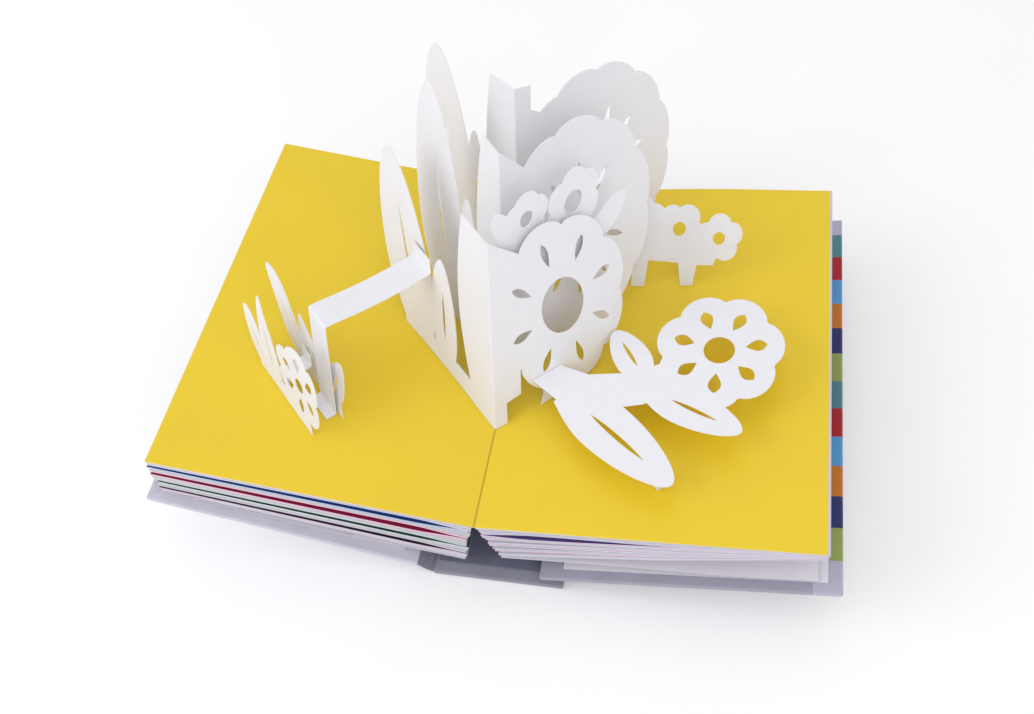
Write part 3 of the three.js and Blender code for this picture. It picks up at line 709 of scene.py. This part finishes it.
part = cut_sheet(
    [[(19.0, -36.0), (31.0, -25.8), (46, -31), (70, -29), (86, -20), (93, -38), (74, -47), (48, -52), (32, -46)], leaf(36, -42, 92, -89, 27),
     leaf(74, -32, 56, -4, 18), leaf(76, -38, 121, -60, 21), blossom(108, -14, 31, 34, 7, 0.15, rad(10))],
    [slit(36, -42, 92, -89, 2.6, 0.25, 0.75), slit(74, -32, 56, -4, 2, 0.25, 0.75), slit(76, -38, 121, -60, 2.2, 0.25, 0.75),
     disc(108, -14, 7.5, 8), *drops(108, -14, 31, 34, 7, 0.4, 0.74, 0.2, rad(10))],
    spray_surface, CARD, rows_x=span(20, 138, 24), rows_y=span(-90, 20, 22), step=1.8)
joined("flat_spray_card", [part], "book", ["flat_spray"])

leg = Path([[0, 15.4], [-0.2, 8], [-0.5, 0.4], [-6, 0.4]], 0.8)
leg_u = Vector((math.cos(rad(225)), math.sin(rad(225)), 0))
leg_n = leg_u.cross(nR).normalized()


def leg_surface(d, s):
    p = leg.at(d)
    return GUTTER + xR * 80.5 + Vector((0, -81.5, 0)) + leg_u * p.x + nR * p.y + leg_n * s


joined("spray_leg_paper", [cut_sheet([[(0, -4.5), (leg.length, -4.5), (leg.length, 4.5), (0, 4.5)]], [], leg_surface, CARD, rows_x=leg.rows(2.0), step=2.0)],
       "book", ["spray_leg"])

# ---- the garlands -----------------------------------------------------------------------------
row_u = Vector((1, 0.04, math.tan(aR))).normalized()
row_n = row_u.cross(CREASE).normalized()


def garland_surface(u, w):
    bend = 1.4 * math.sin((u - 58) / 11.5) * smooth(2, 16, w) + 1.0 * (w / 40) ** 2
    return Vector((0, 36.6, GUTTER_Z)) + row_u * u + CREASE * max(w, 0.35) + row_n * -bend


part = cut_sheet(
    [[(57.5, 0.35), (64.5, 0.35), (66, 15), (82, 13), (83.5, 0.35), (90, 0.35), (91.5, 12), (100, 12), (102, 20), (58, 25)],
     [(62, 20), (100, 16), (94, 24.5), (84, 27), (72, 30), (64, 30)], blossom(61, 36, 14, 16, 5, 0.24, rad(18)), blossom(81.5, 32, 13, 14.5, 5, 0.24, rad(54)), blossom(102, 27, 12, 13.5, 5, 0.24, rad(18))],
    [disc(61, 36, 3.6, 4.2), disc(81.5, 32, 3.4, 3.9), disc(102, 27, 3.1, 3.6)],
    garland_surface, CARD, rows_x=span(46, 116, 30), rows_y=span(2, 52, 14), step=1.6)
joined("garland_right_card", [part], "book", ["garland_right"])

mid_u = (foot_raw(80, FRONT_Y) - O_F).normalized()
mid_n = mid_u.cross(CREASE).normalized()


def middle_surface(u, w):
    bend = 1.2 * math.sin((u - 8) / 15) * smooth(96, 112, w)
    return O_F + mid_u * u + CREASE * w + mid_n * (-3.4 + bend)


part = cut_sheet(
    [[(12, 76), (66, 62), (66, 78), (12, 92)], blossom(49, 95, 15, 16.5, 6, 0.16, rad(30)), blossom(23, 100, 12, 13, 5, 0.17, rad(18)),
     leaf(18, 86, 6, 110, 12), leaf(60, 70, 79, 86, 13)],
    [disc(49, 95, 5, 5.6), disc(23, 100, 3.4, 3.8)],
    middle_surface, CARD, rows_x=span(0, 80, 24), rows_y=span(62, 114, 14), step=1.6)
joined("garland_middle_card", [part], "book", ["garland_middle"])

# ---- the block of pages -------------------------------------------------------------------------
HALF = PAGE_L / 2
YS = [-HALF, -HALF + 0.6] + span(-HALF + 12, HALF - 12, 12) + [HALF - 0.6, HALF]


def page_wave(u, y, k):
    """Slight unevenness of a leaf, in millimetres."""
    return 0.18 * math.sin(u * 5.1 + k * 1.7) * math.sin(y / 61 + k) * smooth(0, 0.25, u)


# the yellow spread, one card folded at the gutter
def spread(u, y):
    r = 0.9
    a = abs(u)
    if a < r:
        t = (u + r) / (2 * r)
        p = xL * r * (1 - t) ** 2 + xR * r * t * t
        return GUTTER + p - Vector((0, 0, 0.22)) + Vector((0, y, 0))
    side, n = (xL, nL) if u < 0 else (xR, nR)
    lift = 0.0
    if u > 0:  # the right page arches a little towards the head
        lift = 2.6 * math.sin(math.pi * min(1, a / PAGE_W)) ** 1.3 * smooth(35, 110, y)
    lift -= 0.25 * math.sin(math.pi * a / PAGE_W) * smooth(0, 40, a)
    return GUTTER + side * a + n * (lift - 0.22) + Vector((0, y, 0))


US = [-x for x in reversed([0.2, 0.5, 0.9, 1.6, 3, 6] + span(12, 156, 24) + [158.6, PAGE_W])] + [0] + [0.2, 0.5, 0.9, 1.6, 3, 6] + span(12, 156, 24) + [158.6, PAGE_W]
top = grid_sheet(US, YS, spread, 0.44, (YELLOW, YELLOW, EDGE["cream"]))
joined("top_spread", [top], "book", ["page_block"])


def left_at(f, u):
    a, b = (-1.0 - 7.8 * f, GUTTER_Z - 36.1 * f), (-PAGE_W * math.cos(aL) - 3.4 * f, GUTTER_Z + PAGE_W * math.sin(aL) - 29.5 * f)
    return a[0] + (b[0] - a[0]) * u, a[1] + (b[1] - a[1]) * u


def right_at(f, u):
    tx, tz = PAGE_W * math.cos(aR) * u, GUTTER_Z + PAGE_W * math.sin(aR) * u
    if u < 0.52:
        lx, lz = 8.9 + 78.4 * (u / 0.52), 19.1 + 16.3 * (u / 0.52)
    else:
        lx, lz = 87.3 + 71.5 * ((u - 0.52) / 0.48), 35.4 + 20.2 * ((u - 0.52) / 0.48)
    return tx + (lx - tx) * f, tz + (lz - tz) * f


LEFT_GAPS = [(0.1425, 0.0475), (0.3765, 0.050), (0.627, 0.030), (0.8405, 0.034)]
LEFT_FACES = [NAVY, MAROON, GREEN, PLUM]


def left_gap(k, u):
    c, h = LEFT_GAPS[k]
    g = smooth(0.02, 0.17, u) * (1.28 - 0.5 * u)
    return c - h * g, c + h * g


def left_pack(k, u):
    """Upper and lower limit of a pack of leaves, as shares of the block's thickness."""
    a = 0.02 if k == 0 else left_gap(k - 1, u)[1]
    b = 1.0 if k == 4 else left_gap(k, u)[0]
    return a, b


PACK_EDGES_L = [["lilac", "lilac"], ["blue", "grey", "grey", "pink"], ["rose", "rose", "green", "green"], ["green", "grey", "grey"], ["rose", "lilac", "lilac"]]
UL = [0.0, 0.012, 0.03, 0.06, 0.1, 0.14, 0.18, 0.24] + span(0.32, 0.96, 12) + [0.992, 1.0]
leaves = []
n = 0
for k, edges in enumerate(PACK_EDGES_L):
    m = len(edges)
    for i, edge in enumerate(edges):
        n += 1
        inset, short = 0.25 * hashed(n) + (0.1 if k else 0), 0.3 * abs(hashed(n + 50))

        def point(u, y, k=k, i=i, m=m, n=n, inset=inset, short=short):
            a, b = left_pack(k, u)
            f = a + (b - a) * (i + 0.5) / m
            uu = 0.004 + 0.006 * hashed(n + 9) + u * (0.996 - 0.0018 * short)
            x, z = left_at(f, uu)
            ys = y * (1 - 0.0016 * short) + inset * 0.35
            drop = 0.0
            if n == 16:  # the last leaf's corner curls down towards the board
                drop = 9.0 * smooth(0.86, 1.0, u) * smooth(-84, -110, y)
            return Vector((x, ys, z + page_wave(u, y, n) * (0.6 if i not in (0, m - 1) else 0.3) - drop))

        def thick(u, y, k=k, m=m):
            a, b = left_pack(k, u)
            return max(0.25, (b - a) * 31.5 / m * 0.84)

        up = LEFT_FACES[k - 1] if (k and i == 0) else PALE
        low = LEFT_FACES[k] if (k < 4 and i == m - 1) else PALE
        leaves.append(grid_sheet(UL, YS, point, thick, (up, low, EDGE[edge]), flip=True))
joined("left_leaves_of_block", leaves, "book", ["page_block"])

RIGHT_GAPS = [(0.235, 0.075, 0.62), (0.46, 0.03, 0.5), (0.66, 0.03, 0.45), (0.85, 0.025, 0.4)]


def right_gap(k, u):
    c, h, end = RIGHT_GAPS[k]
    if k == 0:
        g = smooth(-0.02, 0.16, u) * smooth(end, 0.2, u)
    else:
        g = smooth(-0.25, 0.05, u) * smooth(end, 0.05, u)
    return c - h * g, c + h * g


def right_pack(k, u):
    a = 0.02 if k == 0 else right_gap(k - 1, u)[1]
    b = 1.0 if k == 4 else right_gap(k, u)[0]
    return a, b


PACK_EDGES_R = [["lilac", "grey", "lilac", "lilac"], ["rose", "lilac", "grey"], ["lilac", "rose", "lilac"], ["grey", "lilac", "rose"], ["lilac", "lilac", "grey"]]
UR = [0.0, 0.01, 0.03, 0.06, 0.1, 0.15, 0.2] + span(0.26, 0.96, 14) + [0.992, 1.0]
leaves = []
for k, edges in enumerate(PACK_EDGES_R):
    m = len(edges)
    for i, edge in enumerate(edges):
        n += 1
        short = 0.3 * abs(hashed(n + 50))

        def point(u, y, k=k, i=i, m=m, n=n, short=short):
            a, b = right_pack(k, u)
            f = a + (b - a) * (i + 0.5) / m
            uu = 0.003 + 0.004 * hashed(n + 9) + u * (1.0005 - 0.0018 * short)
            x, z = right_at(f, uu)
            lift = 2.4 * math.sin(math.pi * min(1, max(0, u))) ** 1.3 * smooth(35, 110, y) * (1 - f) ** 1.5
            return Vector((x + 0.35 * (u > 0.9) * (u - 0.9) * 10, y * (1 - 0.0012 * short) + 0.1 * hashed(n), z + page_wave(u, y, n) * 0.35 * (1 - u) + lift))

        def thick(u, y, k=k, m=m):
            a, b = right_pack(k, u)
            x0, z0 = right_at(0, u)
            x1, z1 = right_at(1, u)
            return max(0.2, (b - a) * math.dist((x0, z0), (x1, z1)) / m * (0.62 + 0.24 * u))

        up = PURPLE if (k == 1 and i == 0) else PALE
        low = PURPLE if (k == 0 and i == m - 1) else PALE
        leaves.append(grid_sheet(UR, YS, point, thick, (up, low, EDGE[edge])))
joined("right_leaves_of_block", leaves, "book", ["page_block"])


# ---- the covers --------------------------------------------------------------------------------
def board_frame(b, side):
    (x0, z0), length, rise = b
    a = rad(rise)
    d, up = (side * math.cos(a), math.sin(a)), (-side * math.sin(a), math.cos(a))
    return lambda u, h, y: Vector((x0 + d[0] * u + up[0] * h, y, z0 + d[1] * u + up[1] * h))


def rounded_box(u0, u1, y0, y1, h0, h1, r, place, material_of, cuts=(), segments=4):
    bm = bmesh.new()
    bmesh.ops.create_cube(bm, size=1)
    for v in bm.verts:
        v.co = Vector(((u0 + u1) / 2 + v.co.x * (u1 - u0), (y0 + y1) / 2 + v.co.y * (y1 - y0), (h0 + h1) / 2 + v.co.z * (h1 - h0)))
    bmesh.ops.bevel(bm, geom=list(bm.edges), offset=r, segments=segments, profile=0.5, affect="EDGES")
    for co, no in cuts:
        bmesh.ops.bisect_plane(bm, geom=list(bm.verts) + list(bm.edges) + list(bm.faces), plane_co=co, plane_no=no, dist=1e-5)
    bmesh.ops.recalc_face_normals(bm, faces=bm.faces)
    bm.verts.index_update()
    faces, idx, mats = [], [], []
    for f in bm.faces:
        c = f.calc_center_median()
        m = material_of(c.x, c.y, c.z)
        if m not in mats:
            mats.append(m)
        idx.append(mats.index(m))
        faces.append(tuple(v.index for v in f.verts))
    verts = [place(v.co.x, v.co.z, v.co.y) for v in bm.verts]
    bm.free()
    # the box may have been mirrored by its placing
    a, b, c = (Vector(verts[i]) for i in faces[0][:3])
    mid = sum((Vector(v) for v in verts), Vector()) / len(verts)
    face_mid = sum((Vector(verts[i]) for i in faces[0]), Vector()) / len(faces[0])
    if (b - a).cross(c - b).dot(face_mid - mid) < 0:
        faces = [tuple(reversed(f)) for f in faces]
    return verts, faces, mats, idx


def board(name, b, side, body, node, plain, edge):
    place = board_frame(b, side)
    length = b[1]
    H = BOARD_L / 2
    stripe_from = length - 13.0
    box = rounded_box(0, length, -H, H, 0, BOARD_T, 0.85, place,
                      lambda u, y, h: edge if u > stripe_from else plain,
                      cuts=[((stripe_from, 0, 0), (1, 0, 0))])
    # the fore-edge turn-in, folded over last, with mitred ends
    r = 0.95
    path = Path([(length - 15.5, BOARD_T + 0.09), (length + 0.09, BOARD_T + 0.09), (length + 0.09, 0.9)], r, 7)
    Lp = path.length
    flat = 15.5

    def surf(d, y):
        p = path.at(d)
        return place(p.x, p.y, y)

    turn = cut_sheet([[(0, -H + 15.8), (flat - 0.2, -H + 0.55), (Lp, -H + 0.9), (Lp, H - 0.9), (flat - 0.2, H - 0.55), (0, H - 15.8)]], [], surf, 0.18,
                     rows_x=path.rows(4.0), rows_y=span(-96, 96, 8), step=6.0, mats=(edge, edge, edge), flip=side < 0)
    return joined(name, [box, turn], body, [node], sharp=30)


# the front board takes the lighter copy of the cover paper, painted light
board("front_cover_board", LEFT_BOARD, -1, "front_board", "front_cover", COVER_LIT_FRONT, COVER_LIT_FRONT)
board("back_cover_board", RIGHT_BOARD, 1, "back_board", "back_cover", COVER_R, STRIPE)


def pastedown(name, b, side, body, node, start, stop, tail):
    place = board_frame(b, side)
    length = b[1]

    def point(u, y):
        # the turn-ins underneath show as a faint step
        inner = smooth(length - 16.5, length - 14.5, u) + smooth(-98.5, -100.5, y) + smooth(98.5, 100.5, y)
        return place(u, BOARD_T + 0.32 + 0.14 * min(1.0, inner), y)

    us = span(start, length - 20, 14) + span(length - 17, length - 14, 6) + [length - 10, length - stop]
    ys = [-tail] + span(-101.5, -97.5, 6) + span(-80, 80, 8) + span(97.5, 101.5, 6) + [tail]
    return joined(name, [grid_sheet(us, ys, point, 0.26, (ENDPAPER, ENDPAPER, EDGE["lilac"]), flip=side < 0)], body, [node])


pastedown("front_pasted_leaf", LEFT_BOARD, -1, "front_board", "front_pastedown", 8, 6.5, 110)
pastedown("back_pasted_leaf", RIGHT_BOARD, 1, "back_board", "back_pastedown", 12, 6.2, 110)

# ---- the spine ---------------------------------------------------------------------------------
plain_place = lambda u, h, y: Vector((u, y, h))
spine = rounded_box(SPINE[0], SPINE[1], -115, 115, 0, SPINE_T, 0.8, plain_place, lambda u, y, h: COVER_SHADED)
joined("spine_wrapped_board", [spine], "book", ["spine_board"], sharp=30)


def liner_point(x, y):
    lift = 0.25 + 0.55 * math.sin(math.pi * (x - SPINE[0]) / (SPINE[1] - SPINE[0])) ** 2
    return Vector((x, y, SPINE_T + lift + 0.35 * smooth(-104, -109, y)))


joined("spine_liner", [grid_sheet(span(-24.5, 37.5, 24), [-109, -108] + span(-104, 104, 16) + [108, 109], liner_point, 0.5, (LINER, LINER, COVER_SHADED))],
       "book", ["spine_board"])


def joint_strip(name, line, nodes, t=0.55):
    path = Path(line, 1.6, 6)
    part = grid_sheet(path.rows(0.8), [-114.4, -113.8] + span(-108, 108, 18) + [113.8, 114.4], lambda d, y: (lambda p: Vector((p.x, y, p.y)))(path.at(d)), t,
                      (COVER_SHADED, COVER_SHADED, COVER_SHADED), flip=line[0][0] < line[-1][0])
    o = joined(name, [part], None, nodes)
    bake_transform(o)
    return o


# the joint papers take the darker copy of the cover paper, painted shade
joint_strip("front_joint_paper", [(-25.6, 1.2), (-28.2, 1.7), (-30.4, 3.2), (-33.2, 6.2), (-35.6, 8.2)], ["spine_board", "front_cover"])
joint_strip("back_joint_paper", [(39.35, 2.0), (39.3, 3.9), (36.6, 4.9), (33.0, 6.6), (29.8, 8.9)], ["spine_board", "back_cover"])


# ---- the part of each endpaper between the block and its cover ------------------------------------
def hinge_leaf(name, line, node):
    path = Path(line, 9.0, 6)
    part = grid_sheet(path.rows(5.0), [-110, -109] + span(-100, 100, 10) + [109, 110], lambda d, y: (lambda p: Vector((p.x, y, p.y)))(path.at(d)), 0.35,
                      (ENDPAPER, ENDPAPER, EDGE["lilac"]))
    o = joined(name, [part], None, [node])
    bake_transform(o)
    return o


hinge_leaf("front_loose_leaf", [(-9.6, 11.0), (-24, 14.2), (-44, 18.0), (-58, 20.6), (-66, 22.4)], "front_hinge_leaf")
hinge_leaf("back_loose_leaf", [(9.6, 18.1), (30, 20.4), (60, 23.4), (87.3, 25.5), (104, 26.3), (112.5, 26.9), (124.6, 28.2), (158.5, 33.6)], "back_hinge_leaf")

# ---- floor, light and camera ----------------------------------------------------------------------
floor_mat = Mat("floor", 0.85, specular=0.2)
floor_mat.base(floor_mat.ramp(floor_mat.noise(120, 3), [(0.3, (0.92, 0.92, 0.92)), (0.7, (0.94, 0.94, 0.94))]))
floor_mat.b.inputs["Emission Color"].default_value = (1, 1, 1, 1)
floor_mat.b.inputs["Emission Strength"].default_value = 0.12
me = bpy.data.meshes.new("floor")
R = 4.0
me.from_pydata([(-R, -R, 0), (R, -R, 0), (R, R, 0), (-R, R, 0)], [], [(0, 1, 2, 3)])
me.materials.append(floor_mat.m)
floor = bpy.data.objects.new("floor", me)
floor.location.z = -0.0002
bpy.context.scene.collection.objects.link(floor)

world = bpy.data.worlds.new("studio")
bpy.context.scene.world = world
world.use_nodes = True
world.node_tree.nodes["Background"].inputs[0].default_value = (1.0, 1.0, 1.02, 1)
world.node_tree.nodes["Background"].inputs[1].default_value = 0.72


def softbox(name, at, aim, size, watts, colour=(1, 1, 1)):
    light = bpy.data.lights.new(name, "AREA")
    light.shape = "RECTANGLE"
    light.size, light.size_y = size
    light.energy = watts
    light.color = colour
    o = bpy.data.objects.new(name, light)
    o.location = at
    o.rotation_euler = (Vector(aim) - Vector(at)).to_track_quat("-Z", "Y").to_euler()
    bpy.context.scene.collection.objects.link(o)


softbox("key_left", (-1.1, -0.45, 0.85), (0.0, 0.0, 0.08), (0.9, 0.9), 5.0)
softbox("fill_front_right", (0.75, -0.95, 0.9), (0.0, 0.0, 0.08), (1.0, 1.0), 3.2)
softbox("top", (0.1, 0.25, 1.5), (0.0, 0.0, 0.05), (1.3, 1.3), 1.8)

cam_data = bpy.data.cameras.new("camera")
cam = bpy.data.objects.new("camera", cam_data)
bpy.context.scene.collection.objects.link(cam)
cam_data.sensor_fit = "HORIZONTAL"
cam_data.sensor_width = 36.0
cam_data.lens = 35.7986
cam_data.clip_start, cam_data.clip_end = 0.01, 20
Rv, Uv, Fv = (0.978216, 0.176609, -0.1091), (-0.079711, 0.804826, 0.588134), (-0.191677, 0.566625, -0.801371)
cam.matrix_world = Matrix(((Rv[0], Uv[0], -Fv[0], 0.099672), (Rv[1], Uv[1], -Fv[1], -0.315656), (Rv[2], Uv[2], -Fv[2], 0.480167), (0, 0, 0, 1)))
bpy.context.scene.camera = cam
bpy.context.scene.view_settings.view_transform = "Standard"
bpy.context.scene.view_settings.look = "None"
